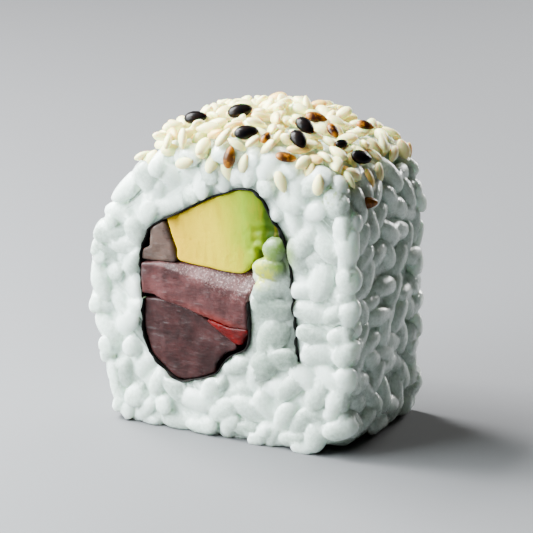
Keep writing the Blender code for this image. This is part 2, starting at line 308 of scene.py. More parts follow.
def spline(points, closed, step):
    """Points about a step apart on the smooth curve through the given ones."""
    given = [np.array(p, float) for p in points]
    count = len(given)
    made = []
    for i in range(count if closed else count - 1):
        near = (i - 1, i, i + 1, i + 2)
        if closed:
            a, b, c, d = (given[j % count] for j in near)
        else:
            a, b, c, d = (given[min(max(j, 0), count - 1)] for j in near)
        parts = max(1, round(math.dist(b, c) / step))
        for t in np.arange(parts) / parts:
            bend = (2 * a - 5 * b + 4 * c - d) * t**2 + (3 * b - a - 3 * c + d) * t**3
            made.append(b + 0.5 * ((c - a) * t + bend))
    return np.array(made if closed else made + [given[-1]])


def leftward(path, closed=False):
    """The direction to the left of the path at each of its points."""
    if closed:
        along = np.roll(path, -1, 0) - np.roll(path, 1, 0)
    else:
        along = np.gradient(path, axis=0)
    along /= np.linalg.norm(along, axis=1)[:, None]
    return np.stack((-along[:, 1], along[:, 0]), 1)


def inside(outline, points):
    """Which of the points lie in the closed outline, by crossings on a line to the right."""
    a, b = outline, np.roll(outline, -1, 0)
    rise = np.where(a[:, 1] == b[:, 1], 1, b[:, 1] - a[:, 1])
    x, z = points[:, :1], points[:, 1:]
    at = a[:, 0] + (z - a[:, 1]) * (b[:, 0] - a[:, 0]) / rise
    return (((a[:, 1] > z) != (b[:, 1] > z)) & (x < at)).sum(1) % 2 == 1


def nearest(line, points):
    """For each point, the line's nearest point."""
    gaps = np.linalg.norm(points[:, None] - line[None], axis=2)
    return line[gaps.argmin(1)]


def outer_line(sizes, inset, step=0.4):
    """The rice's closed outer line midway, clockwise from the underside's left end."""
    half, height = sizes.width / MM / 2 - inset, sizes.height / MM - inset
    line = spline([(u * half, v * height) for u, v in SECTION], True, step)
    line[:, 1] = np.maximum(line[:, 1], 0)
    return line


def share_at(sizes, y):
    """How much of its width and height midway the roll still has at y."""
    taper = np.where(y < 0, FRONT_TAPER, BACK_TAPER)
    return 1 - taper * np.minimum(1, abs(y) / (sizes.length / MM / 2)) ** 3


def nori_line(step=0.5):
    """The sheet's middle line, with its fine crinkles."""
    line = spline(NORI_PATH, False, step)
    bumps = [noise.noise(Vector((*p / NORI_CREASES, 3.0))) for p in line]
    return line + leftward(line) * np.array(bumps)[:, None] * NORI_CRINKLE


def keyhole(sizes, clear, wall_shift):
    """The hole in the rice, for the filling and the nori's outer end."""
    line = nori_line()
    aside = leftward(line) * (sizes.nori_thickness / MM / 2 + clear)
    wall = np.array(TONGUE_WALL) + (wall_shift, 0)
    inner = line - aside
    start = np.linalg.norm(inner - (wall[0] + 2), axis=1).argmin()
    tip = line[-1] + (0, -0.3)
    ends = [tip + (0.3, 0), tip - (0.3, 0)]
    return np.concatenate((line + aside, ends, inner[start:][::-1], wall))


def extruded(outline, stops):
    """The outline's solid, drawn out along Y from the first stop through the others."""
    bm = bmesh.new()
    end = bm.faces.new([bm.verts.new((x * MM, stops[0] * MM, z * MM)) for x, z in outline])
    for y, after in zip(stops, stops[1:]):
        made = bmesh.ops.extrude_face_region(bm, geom=[end])["geom"]
        moved = [part for part in made if isinstance(part, bmesh.types.BMVert)]
        bmesh.ops.translate(bm, verts=moved, vec=(0, (after - y) * MM, 0))
        if y != stops[0]:
            bmesh.ops.delete(bm, geom=[end], context="FACES_ONLY")
        end = next(part for part in made if isinstance(part, bmesh.types.BMFace))
    bmesh.ops.recalc_face_normals(bm, faces=bm.faces)
    bmesh.ops.triangulate(bm, faces=bm.faces)
    return bm


def to_mesh(name, bm):
    mesh = bpy.data.meshes.new(name)
    bm.to_mesh(mesh)
    bm.free()
    return mesh


def add_object(name, mesh):
    made = bpy.data.objects.new(name, mesh)
    bpy.context.scene.collection.objects.link(made)
    return made


def change(obj, kind, **settings):
    """Applies one modifier to the object's mesh."""
    modifier = obj.modifiers.new(kind, kind)
    for name, value in settings.items():
        setattr(modifier, name, value)
    graph = bpy.context.evaluated_depsgraph_get()
    obj.data = bpy.data.meshes.new_from_object(obj.evaluated_get(graph))
    obj.modifiers.clear()


def cut(obj, bm):
    """Takes the cutter's solid out of the object."""
    cutter = add_object("cutter", to_mesh("cutter", bm))
    change(obj, "BOOLEAN", operation="DIFFERENCE", solver="MANIFOLD", object=cutter)
    bpy.data.objects.remove(cutter)


def points_of(mesh):
    points = np.empty(len(mesh.vertices) * 3)
    mesh.vertices.foreach_get("co", points)
    return points.reshape(-1, 3) / MM


def move_points(mesh, points):
    mesh.vertices.foreach_set("co", (points * MM).ravel())
    mesh.update()


def set_attribute(mesh, name, values):
    layer = mesh.attributes.new(name, "FLOAT", "POINT")
    layer.data.foreach_set("value", values)


def fill_tones(mesh, deep):
    """Gives the seams of a union, which come out without a tone, the mean of what is round them. Any seam
    still without one gets the given tone, a painted crevice shade.
    """
    layer = mesh.attributes["tone"].data
    tones = np.empty(len(mesh.vertices))
    layer.foreach_get("value", tones)
    pairs = np.empty(len(mesh.edges) * 2, int)
    mesh.edges.foreach_get("vertices", pairs)
    pairs = pairs.reshape(-1, 2)
    start, end = np.concatenate((pairs, pairs[:, ::-1])).T
    for _ in range(4):
        known = tones != 0
        count = np.bincount(start, known[end], len(tones))
        total = np.bincount(start, tones[end], len(tones))
        fresh = ~known & (count > 0)
        tones[fresh] = total[fresh] / count[fresh]
    tones[tones == 0] = deep
    layer.foreach_set("value", tones)


def bumps(points, grain, seed):
    """Smooth noise from -1 to 1 at each point, with bumps about a grain wide."""
    return np.array([noise.noise(Vector(p) / grain + Vector((seed, 0, 0))) for p in points])


def finish_piece(obj, material, replaced=()):
    """Dresses a finished piece and ties it to the frame."""
    obj.data.materials.clear()
    obj.data.materials.append(material)
    obj.data.shade_smooth()
    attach(obj, "root")
    if replaced:
        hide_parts(*replaced)


def joined(name, parts):
    """One object of many small meshes, each given as (mesh, place)."""
    bm = bmesh.new()
    for mesh, place in parts:
        placed = mesh.copy()
        placed.transform(place)
        bm.from_mesh(placed)
        bpy.data.meshes.remove(placed)
    return add_object(name, to_mesh(name, bm))


def lying(point, normal, heading, tilt, roll=0):
    """The place of a grain or seed whose flat side faces along the normal."""
    side = Vector((0, 1, 0)).cross(normal) if abs(normal.y) < 0.9 else Vector((1, 0, 0))
    ahead = (side - side.project(normal)).normalized()
    rest = Matrix((ahead, normal.cross(ahead), normal)).transposed().to_4x4()
    turned = Matrix.Rotation(heading, 4, "Z") @ Matrix.Rotation(tilt, 4, "Y")
    return Matrix.Translation(Vector(point) * MM) @ rest @ turned @ Matrix.Rotation(roll, 4, "X")


def pressed(sizes, mesh, line, sheet, spring):
    """Presses a grain into the roll's shape: what stands out goes back, most of the way."""
    points = points_of(mesh)
    end = sizes.length / MM / 2
    y = points[:, 1]
    y = np.where(abs(y) > end, np.copysign(end + spring * (abs(y) - end), y), y)
    flat = points[:, ::2]
    out = ~inside(line, flat)
    if out.any():
        near = nearest(line, flat[out])
        flat[out] = near + spring * (flat[out] - near)
    middle = flat.mean(0)
    wall = nearest(sheet, middle[None])[0]
    gap = math.dist(middle, wall)
    flat *= 1 - (1 - share_at(sizes, y)[:, None]) * min(1, gap / 8)
    away = (middle - wall) / gap
    depth = (flat - wall) @ away - sizes.nori_thickness / MM / 2 - 0.03
    if gap < 5:
        flat -= np.minimum(depth, 0)[:, None] * away
    flat[:, 1] = np.where(flat[:, 1] < 0, 0.02 * flat[:, 1], flat[:, 1])
    move_points(mesh, np.stack((flat[:, 0], y, flat[:, 1]), 1))


def grain_mesh(chance):
    """A cooked short grain, a unit long, wide and thick: blunt, a little curved and dented."""
    bm = bmesh.new()
    bmesh.ops.create_uvsphere(bm, u_segments=12, v_segments=9, radius=0.5)
    bmesh.ops.rotate(bm, verts=bm.verts, matrix=Matrix.Rotation(math.pi / 2, 3, "Y"))
    taper, bend, seed = chance.uniform(-0.1, 0.1), chance.uniform(-0.16, 0.16), chance.uniform(0, 99)
    for v in bm.verts:
        along = 2 * v.co.x
        if abs(along) < 0.99:
            blunt = math.sqrt((1 - abs(along) ** 2.7) / (1 - along**2)) * (1 - taper * along)
            v.co.y *= blunt
            v.co.z *= blunt
        v.co.y += bend * (1 - along**2) - bend / 2
        v.co *= 1 + 0.1 * noise.noise(v.co * 2.6 + Vector((seed, 0, 0)))
    return to_mesh("grain", bm)


def scatter(apart, tries, kept, propose):
    """Adds places that keep apart from each other, each as (point, normal, heading, size)."""
    for _ in range(tries):
        place = propose()
        if place and all(math.dist(place[0], other[0]) > apart for other in kept):
            kept.append(place)
    return kept


class Skin:
    """The roll's outer surface unrolled: how far round it (from the left of the underside), and y."""

    CELL = 0.2

    def __init__(self, sizes, tree):
        self.sizes = sizes
        self.line = outer_line(sizes, 0, self.CELL)
        self.out = leftward(self.line, closed=True)
        steps = np.linalg.norm(np.roll(self.line, -1, 0) - self.line, axis=1)
        self.walked = np.concatenate(([0], np.cumsum(steps)[:-1]))
        self.end = sizes.length / MM / 2
        self.rows = np.arange(-self.end, self.end, self.CELL)
        self.height = np.full((len(self.line), len(self.rows)), -1.0)
        for i in range(len(self.line)):
            if self.out[i][1] > -0.2:
                self.height[i] = [self.find(tree, i, y) for y in self.rows]

    def base(self, i, y):
        flat = self.line[i] * share_at(self.sizes, y)
        return Vector((flat[0], y, flat[1])), Vector((self.out[i][0], 0, self.out[i][1]))

    def find(self, tree, i, y):
        """How high the rice stands over the outer line there."""
        point, out = self.base(i, y)
        hit = tree.ray_cast((point + 5 * out) * MM, -out)[0]
        return (hit / MM - point).dot(out) if hit else -2.0

    def place(self, i, y, heading, size, tilt, roll, most, shown):
        """Sets a seed down on what is there. Returns its place, or None where it would stand too high."""
        length, width, thickness = size
        reach = int(length / self.CELL / 2) + 1
        middle = int((y + self.end) / self.CELL)
        around = (np.arange(-reach, reach + 1) + i) % len(self.line)
        along = np.arange(max(0, middle - reach), min(len(self.rows), middle + reach + 1))
        u = ((np.arange(-reach, reach + 1)) * self.CELL)[:, None] + 0 * along[None]
        v = (self.rows[along] - y)[None] + 0 * u
        turn = (u * math.cos(heading) + v * math.sin(heading), v * math.cos(heading) - u * math.sin(heading))
        far = (turn[0] / length * 2) ** 2 + (turn[1] / width * 2) ** 2
        under = far < 1
        if under.sum() < 12:
            return None
        patch = self.height[np.ix_(around, along)]
        table = np.stack((u[under], v[under], np.ones(under.sum())), 1)
        slope = np.linalg.lstsq(table, patch[under], rcond=None)[0]
        slope[:2] = np.clip(slope[:2], -0.7, 0.7)
        lift = np.percentile(patch[under] - table @ slope, 80)
        level = slope[2] + lift + thickness * 0.4 + abs(math.sin(tilt)) * length * 0.3
        if level > most:
            return None
        if shown:
            level = min(level, SHOWN_LEVEL)
            under = far < 1.7
        dome = thickness / 2 * np.sqrt(np.maximum(0, 1 - far))
        shell = 9 * shown + level + slope[0] * u + slope[1] * v + dome
        self.height[np.ix_(around, along)] = np.where(under, np.maximum(patch, shell), patch)
        point, out = self.base(i, y)
        side = Vector((out.z, 0, -out.x))
        lean = float(slope[0]) * side + float(slope[1]) * Vector((0, 1, 0))
        normal = (out + SHOWN_LEAN if shown else out - lean).normalized()
        return lying(point + float(level) * out, normal, heading, tilt, roll)


def feed(tree, node, inputs):
    """Gives a node's inputs their values, or links them to another node's output."""
    for name, value in dict(inputs).items():
        if isinstance(value, bpy.types.NodeSocket):
            tree.links.new(value, node.inputs[name])
        else:
            node.inputs[name].default_value = value


def add_node(tree, kind, inputs=(), out=0, **settings):
    """Adds a shader node with its settings and links, and returns one of its outputs."""
    node = tree.nodes.new("ShaderNode" + kind)
    for name, value in settings.items():
        setattr(node, name, value)
    feed(tree, node, inputs)
    return node.outputs[out]


def new_material(name):
    """A new material and its node tree, with the object's own coordinates, in metres."""
    material = bpy.data.materials.new(name)
    material.use_nodes = True
    tree = material.node_tree
    where = add_node(tree, "TexCoord", out="Object")
    return material, tree, tree.nodes["Principled BSDF"], where


def per(size):
    """The scale of a pattern whose features are that size in millimetres."""
    return 1 / (size * MM)


def rice_material(colours):
    """Cooked short-grain rice, dressed with vinegar: light goes into it, and its skin is wet."""
    material, tree, shader, where = new_material("cooked_rice")
    tone = add_node(tree, "Attribute", out="Fac", attribute_name="tone")
    noises = ((0.5, 4, 0.7), (1.1, 2, 0.5), (3.2, 1, 0.5), (0.55, 3, 0.6), (0.3, 2, 0.5))
    specks, satin, film, grit, wet = (
        add_node(tree, "TexNoise", zip(NOISE, (where, per(size), detail, rough)))
        for size, detail, rough in noises
    )
    frost = add_node(tree, "MapRange", zip(RANGE, (specks, 0.35, 0.65, -0.1, 0.1)), **SMOOTH)
    depth = add_node(tree, "Math", {0: tone, 1: frost}, operation="ADD")
    thin = add_node(tree, "MapRange", zip(RANGE, (depth, 0.0, 1.0)), **SMOOTH)
    # Mixes towards the thin colour by tone: light through thin rice, and painted shade in the crevices,
    # beside the filling and on the outside.
    body = add_node(tree, "Mix", {0: thin, 6: colours.rice, 7: colours.rice_thin_and_shade}, **COLOUR_MIX)
    stains = (
        ((9.6, -12.6, 30.4), (2.2, 4.8), 2.5, (0.3, 0.7, 0.6, 0.95), colours.stain),
        ((7.4, -12.8, 27.6), (1.6, 3.4), 1.1, (0.42, 0.6, 0.25, 1.0), colours.smear),
        ((18.5, -11.5, 40.3), (0.6, 2.2), 0.9, (0.55, 0.62, 0.0, 1.0), colours.avocado_green),
    )
    for point, (full, none), size, run, tint in stains:
        centre = tuple(c * MM for c in point)
        far = add_node(tree, "VectorMath", {0: where, 1: centre}, "Value", operation="DISTANCE")
        near = add_node(tree, "MapRange", zip(RANGE, (far, full * MM, none * MM, 1.0, 0.0)), **SMOOTH)
        patches = add_node(tree, "TexNoise", zip(NOISE, (where, per(size))))
        patches = add_node(tree, "MapRange", zip(RANGE, (patches, *run)), **SMOOTH)
        share = add_node(tree, "Math", {0: near, 1: patches}, operation="MULTIPLY")
        body = add_node(tree, "Mix", {0: share, 6: body, 7: tint}, **COLOUR_MIX)
    fused = add_node(tree, "Bevel", {"Radius": 0.15 * MM}, samples=6)
    skin = {"Height": grit, "Distance": 0.12 * MM, "Strength": 0.5, "Normal": fused}
    feed(tree, shader, {
        "Base Color": body,
        "Roughness": add_node(tree, "MapRange", zip(RANGE, (satin, 0.3, 0.7, 0.22, 0.42)), **SMOOTH),
        "Normal": add_node(tree, "Bump", skin),
        "IOR": 1.4,
        "Subsurface Weight": 1.0,
        "Subsurface Radius": (1.0, 0.95, 0.9),
        "Subsurface Scale": 1.7 * MM,
        "Coat Weight": add_node(tree, "MapRange", zip(RANGE, (film, 0.4, 0.6, 0.3, 1.0)), **SMOOTH),
        "Coat Roughness": 0.05,
        "Coat Normal": add_node(tree, "Bump", {"Height": wet, "Distance": 0.16 * MM, "Strength": 1.0}),
    })  # fmt: skip
    return material


def seed_material(colours, kind):
    """Sesame: a smooth, slightly oily hull or kernel. Each seed has its own tone."""
    material, tree, shader, where = new_material(kind + "_sesame")
    tone = add_node(tree, "Attribute", out="Fac", attribute_name="tone")
    along = add_node(tree, "Attribute", out="Fac", attribute_name="along")
    patches, grain = (add_node(tree, "TexNoise", zip(NOISE, (where, per(size), 2))) for size in (0.8, 0.25))
    if kind == "cream":
        skin = colours.cream
        for run in ((tone, 0.76, 1.1), (along, 0.6, 1.0, 0.0, 0.3)):
            share = add_node(tree, "MapRange", zip(RANGE, run), **SMOOTH)
            skin = add_node(tree, "Mix", {0: share, 6: skin, 7: colours.golden}, **COLOUR_MIX)
        gloss = {"Roughness": 0.36, "Subsurface Weight": 0.5, "Subsurface Scale": 0.6 * MM}
    elif kind == "toasted":
        off = add_node(tree, "Math", {0: along}, operation="ABSOLUTE")
        middle = add_node(tree, "MapRange", zip(RANGE, (off, 0.3, 0.8, 1.0, 0.0)), **SMOOTH)
        for run in ((patches, 0.3, 0.5), (tone, 0.0, 0.5, 0.7, 1.0)):
            share = add_node(tree, "MapRange", zip(RANGE, run), **SMOOTH)
            middle = add_node(tree, "Math", {0: middle, 1: share}, operation="MULTIPLY")
        skin = add_node(tree, "Mix", {0: middle, 6: colours.toasted, 7: colours.scorched}, **COLOUR_MIX)
        gloss = {"Roughness": 0.32, "Specular IOR Level": 0.3}
    else:
        share = add_node(tree, "MapRange", zip(RANGE, (patches, 0.3, 0.8, 0.0, 0.3)), **SMOOTH)
        skin = add_node(tree, "Mix", {0: share, 6: colours.black, 7: colours.nori_edge}, **COLOUR_MIX)
        gloss = {"Roughness": 0.3, "Specular IOR Level": 0.12}
    feed(tree, shader, {
        "Base Color": skin,
        "Normal": add_node(tree, "Bump", {"Height": grain, "Distance": 0.03 * MM, "Strength": 0.6}),
        "IOR": 1.46,
        **gloss,
    })  # fmt: skip
    return material


def nori_material(colours):
    """Roasted nori: a dry, pressed mesh of seaweed, black with brown where it is torn thin."""
    material, tree, shader, where = new_material("roasted_nori")
    fibres = add_node(tree, "TexNoise", zip(NOISE, (where, per(0.5), 4, 0.7)))
    thin = add_node(tree, "MapRange", zip(RANGE, (fibres, 0.55, 0.75)), **SMOOTH)
    feed(tree, shader, {
        "Base Color": add_node(tree, "Mix", {0: thin, 6: colours.nori, 7: colours.nori_edge}, **COLOUR_MIX),
        "Roughness": add_node(tree, "MapRange", zip(RANGE, (fibres, 0.3, 0.7, 0.55, 0.8)), **SMOOTH),
        "Specular IOR Level": 0.15,
        "Normal": add_node(tree, "Bump", {"Height": fibres, "Distance": 0.1 * MM, "Strength": 0.7}),
    })  # fmt: skip
    return material


def avocado_material(colours):
    """Ripe avocado flesh, cut with a knife: buttery, from yellow beside the stone to green at the skin."""
    material, tree, shader, where = new_material("avocado_flesh")
    waves = add_node(tree, "TexNoise", zip(NOISE, (where, per(5.0), 3)))
    place = add_node(tree, "SeparateXYZ", {0: where}).node.outputs
    lean = add_node(tree, "Math", {0: place["Z"], 1: 0.22}, operation="MULTIPLY")
    across = add_node(tree, "Math", {0: place["X"], 1: lean}, operation="ADD")
    drift = add_node(tree, "Math", {0: waves, 1: 4.5 * MM}, operation="MULTIPLY")
    across = add_node(tree, "Math", {0: across, 1: drift}, operation="ADD")
    share = add_node(tree, "MapRange", zip(RANGE, (across, 1.0 * MM, 18.4 * MM)))
    flesh = add_node(tree, "ValToRGB", {"Fac": share})
    stops = (
        (0.0, colours.avocado_pale),
        (0.45, colours.avocado_mid),
        (0.76, colours.avocado_green),
        (0.97, colours.avocado_rim),
    )
    elements = flesh.node.color_ramp.elements
    for position, stop in stops[1:-1]:
        elements.new(position).color = stop
    for element, (position, stop) in zip(elements, stops):
        element.position = position
        element.color = stop
    grain = add_node(tree, "TexNoise", zip(NOISE, (where, per(0.7), 3)))
    strands = add_node(tree, "Mapping", {"Vector": where, "Scale": (1.0, 0.3, 0.25)})
    marks = (
        ((strands, per(0.8), 3), (0.45, 0.75, 0.0, 0.3)),
        ((where, per(1.5), 1), (0.68, 0.78, 0.0, 0.5)),
    )
    for pattern, run in marks:
        spread = add_node(tree, "TexNoise", zip(NOISE, pattern))
        share = add_node(tree, "MapRange", zip(RANGE, (spread, *run)), **SMOOTH)
        flesh = add_node(tree, "Mix", {0: share, 6: flesh, 7: colours.avocado_strand}, **COLOUR_MIX)
    feed(tree, shader, {
        "Base Color": flesh,
        "Roughness": add_node(tree, "MapRange", zip(RANGE, (grain, 0.3, 0.7, 0.36, 0.55)), **SMOOTH),
        "Normal": add_node(tree, "Bump", {"Height": grain, "Distance": 0.1 * MM, "Strength": 0.8}),
        "IOR": 1.42,
        "Specular IOR Level": 0.1,
        "Subsurface Weight": 0.5,
        "Subsurface Radius": (1.0, 0.8, 0.3),
        "Subsurface Scale": 1.0 * MM,
    })  # fmt: skip
    return material


def tuna_material(colours, name):
    """Raw tuna, cut with a knife: wet, translucent muscle with faint fibres across the cut, and on the upper
    slab a painted sheen of light specks along its top.
    """
    material, tree, shader, where = new_material("raw_" + name)
    stretch = add_node(tree, "Mapping", {"Vector": where, "Scale": (0.5, 0.4, 1.6)})
    fibres = add_node(tree, "TexNoise", zip(NOISE, (stretch, per(1.4), 4, 0.6)))
    cloud = add_node(tree, "TexNoise", zip(NOISE, (where, per(4.0), 5, 0.65)))
    wet = add_node(tree, "TexNoise", zip(NOISE, (where, per(0.3), 3, 0.7)))
    main = getattr(colours, name)[:3]
    dark = tuple(0.45 * c for c in main) + (1,)
    light = tuple(1.25 * c for c in main) + (1,)
    pale = tuple(0.5 + 0.5 * c for c in main) + (1,)
    share = add_node(tree, "MapRange", zip(RANGE, (cloud, 0.34, 0.66)), **SMOOTH)
    skin = add_node(tree, "Mix", {0: share, 6: dark, 7: light}, **COLOUR_MIX)
    if name == "tuna_upper":
        place = add_node(tree, "SeparateXYZ", {0: where}).node.outputs
        lean = add_node(tree, "Math", {0: place["X"], 1: 0.28}, operation="MULTIPLY")
        level = add_node(tree, "Math", {0: place["Z"], 1: lean}, operation="ADD")
        right = add_node(tree, "MapRange", zip(RANGE, (place["X"], -8 * MM, 2 * MM, 0.1, 1.0)), **SMOOTH)
        # Light specks in a band along the upper slab's top are a painted sheen and glints; the warm lower
        # edge is the fish's own colour.
        specks = add_node(tree, "MapRange", zip(RANGE, (wet, 0.5, 0.66, 0.05, 0.5)), **SMOOTH)
        bands = ((20.0, 18.2, right, colours.tuna_warm), (22.2, 26.0, specks, colours.tuna_painted_sheen))
        for none, full, part, tint in bands:
            band = add_node(tree, "MapRange", zip(RANGE, (level, none * MM, full * MM)), **SMOOTH)
            share = add_node(tree, "Math", {0: band, 1: part}, operation="MULTIPLY")
            skin = add_node(tree, "Mix", {0: share, 6: skin, 7: tint}, **COLOUR_MIX)
    most = 0.02 if name == "tuna_edge" else 0.09
    veins = add_node(tree, "MapRange", zip(RANGE, (fibres, 0.58, 0.8, 0.0, most)), **SMOOTH)
    feed(tree, shader, {
        "Base Color": add_node(tree, "Mix", {0: veins, 6: skin, 7: pale}, **COLOUR_MIX),
        "Roughness": add_node(tree, "MapRange", zip(RANGE, (fibres, 0.3, 0.7, 0.26, 0.44)), **SMOOTH),
        "Normal": add_node(tree, "Bump", {"Height": fibres, "Distance": 0.16 * MM, "Strength": 0.8}),
        "IOR": 1.4,
        "Specular IOR Level": 0.22,
        "Subsurface Weight": 0.4,
        "Subsurface Radius": (1.0, 0.4, 0.3),
        "Subsurface Scale": 1.0 * MM,
        "Coat Weight": add_node(tree, "MapRange", zip(RANGE, (wet, 0.52, 0.62, 0.02, 0.4)), **SMOOTH),
        "Coat Roughness": 0.12,
        "Coat Normal": add_node(tree, "Bump", {"Height": wet, "Distance": 0.15 * MM, "Strength": 1.0}),
    })  # fmt: skip
    return material


def core_object(sizes):
    """The rice behind the grains, already holed."""
    end = sizes.length / MM / 2 - CORE_BEHIND
    stops = list(np.linspace(-end, end, 7))
    bm = extruded(outer_line(sizes, CORE_INSET, 1.2), stops)
    for v in bm.verts:
        share = float(share_at(sizes, v.co.y / MM))
        v.co.x *= share
        v.co.z *= share
        rim = max(0, abs(v.co.y / MM) - end + 0.1)
        if rim > 0:
            v.co.x *= 0.94
            v.co.z = v.co.z * 0.93 + 1.4 * MM
    core = add_object("cooked_rice", to_mesh("cooked_rice", bm))
    cut(core, extruded(keyhole(sizes, 0.05, 0.5), [-30, 30]))
    return core


def rice_places(sizes, chance):
    """Where the grains lie, each as (point, normal, heading, (length, width) or None)."""
    end = sizes.length / MM / 2
    thick = sizes.grain_thickness / MM
    line = outer_line(sizes, thick * 0.4)
    out = leftward(line, closed=True)
    hole = keyhole(sizes, 0.0, 0.0)
    sheet = nori_line()
    shown = [
        ((x, -(end - SHOWN_BEHIND), z), Vector((0, -1, 0)), math.radians(heading), (long, wide))
        for x, z, heading, long, wide in FACE_GRAINS
    ]  # fmt: skip

    def lifted(x, y, z):
        """Whether a place is under the front right corner, which is clear of the floor."""
        return y < 0 and x > 15.5 and z < 1.2 + 0.5 * (x - 15.5)

    def on_face(side, depth):
        def propose():
            p = np.array([chance.uniform(-24, 24), chance.uniform(0.8, 48)])
            spin = chance.uniform(0, math.pi)
            if not inside(line, p[None])[0] or inside(hole, p[None])[0] or lifted(p[0], side, p[1]):
                return None
            if np.linalg.norm(sheet - p, axis=1).min() < 1.2:
                return None
            y = side * (end - depth + chance.uniform(-0.5, 0.3))
            return (p[0], y, p[1]), Vector((0, side, 0)), spin, None
        return propose

    def on_side(reach):
        def propose():
            i = chance.randrange(len(line))
            y = chance.uniform(-reach, reach)
            spin = chance.uniform(0, math.pi)
            p = line[i] + out[i] * chance.uniform(-0.5, -0.05)
            place = (p[0], y, max(p[1], thick * 0.35))
            return None if lifted(*place) else (place, Vector((out[i][0], 0, out[i][1])), spin, None)
        return propose

    front = scatter(GRAINS_APART, 3200, shown, on_face(-1, GRAINS_BEHIND))
    back = scatter(GRAINS_APART, 3200, [], on_face(1, GRAINS_BEHIND))
    deep = [place for side in (-1, 1) for place in scatter(DEEP_APART, 700, [], on_face(side, DEEP_BEHIND))]
    outside = scatter(GRAINS_APART, 8000, [], on_side(end - thick * 0.4))
    return front + back + deep + outside


def make_rice(context):
    """The core with the grains joined on. A grain's tone says how much light it lets through, and also
    carries painted shade between the grains, beside the filling and on the outside, and a painted lighter
    edge round each grain.
    """
    sizes = context.scene.roll_sizes
    chance = random.Random(11)
    shapes = [grain_mesh(chance) for _ in range(8)]
    line = outer_line(sizes, -0.1)
    size = Vector((sizes.grain_length, sizes.grain_width, sizes.grain_thickness))
    rice = core_object(sizes)
    set_attribute(rice.data, "tone", np.full(len(rice.data.vertices), CREVICE_SHADE_TONE))
    sheet = nori_line()
    heap = bpy.data.collections.new("heap")
    context.scene.collection.children.link(heap)
    for point, normal, heading, special in rice_places(sizes, chance):
        grown = [s * chance.uniform(0.88, 1.1) for s in size]
        if special:
            grown[:2] = [s * MM for s in special]
        grain = chance.choice(shapes).copy()
        grain.transform(Matrix.Diagonal((*grown, 1)))
        flat = special or not normal.y or chance.random() < FLAT_SHARE
        tilt = chance.gauss(0, 0.1 if not normal.y else 0.2) if flat else chance.uniform(0.6, 1.3)
        grain.transform(lying(point, normal, heading, tilt, chance.gauss(0, 0.3)))
        rise = np.clip((points_of(grain) - point) @ normal / 1.5, 0, 1)
        if not normal.y:
            spring = SIDE_SPRING
        elif not special:
            spring = FACE_SPRING
        else:
            spring = RIM_SPRING if point[0] > 19 else SHOWN_SPRING
        pressed(sizes, grain, line, sheet, spring)
        if special and 5 < point[0] < 11.8 and point[2] > 10:
            # The grains beside the filling: their own glassy look, with painted shade.
            tone = WEDGE_THIN_AND_SHADE_TONE
        elif normal.y:
            tone = chance.uniform(-0.1, 0.45)
        else:
            # The outside's grains are darker: partly a more translucent look, partly a painted shade.
            tone = chance.uniform(0.25, 0.45)
        # Painted light: a grain is a little darker at its top and whiter round its lower edge.
        set_attribute(grain, "tone", tone + (0.35 if normal.y else 0.1) * (rise - 0.4))
        heap.objects.link(bpy.data.objects.new("grain", grain))
    change(rice, "BOOLEAN", solver="MANIFOLD", operation="UNION", operand_type="COLLECTION", collection=heap)
    for grain in list(heap.objects):
        bpy.data.objects.remove(grain)
    bpy.data.collections.remove(heap)
    fill_tones(rice.data, CREVICE_SHADE_TONE)
    return rice


class ROLL_OT_rice(bpy.types.Operator):
    """The rice: a core with cooked grains pressed together on it"""

    bl_idname = "roll.add_rice"
    bl_label = "Add the rice"

    def execute(self, context):
        rice = make_rice(context)
        finish_piece(rice, rice_material(context.scene.roll_colours), ["rice"])
        return {"FINISHED"}


def seed_mesh():
    """A sesame seed, a unit long, wide and thick, with its point along X."""
    bm = bmesh.new()
    bmesh.ops.create_uvsphere(bm, u_segments=8, v_segments=7, radius=0.5)
    bmesh.ops.rotate(bm, verts=bm.verts, matrix=Matrix.Rotation(math.pi / 2, 3, "Y"))
    for v in bm.verts:
        along = 2 * v.co.x
        full = 1.03 - 0.22 * max(0, along) - 0.06 * along
        v.co.y *= full
        v.co.z *= full
    return to_mesh("seed", bm)


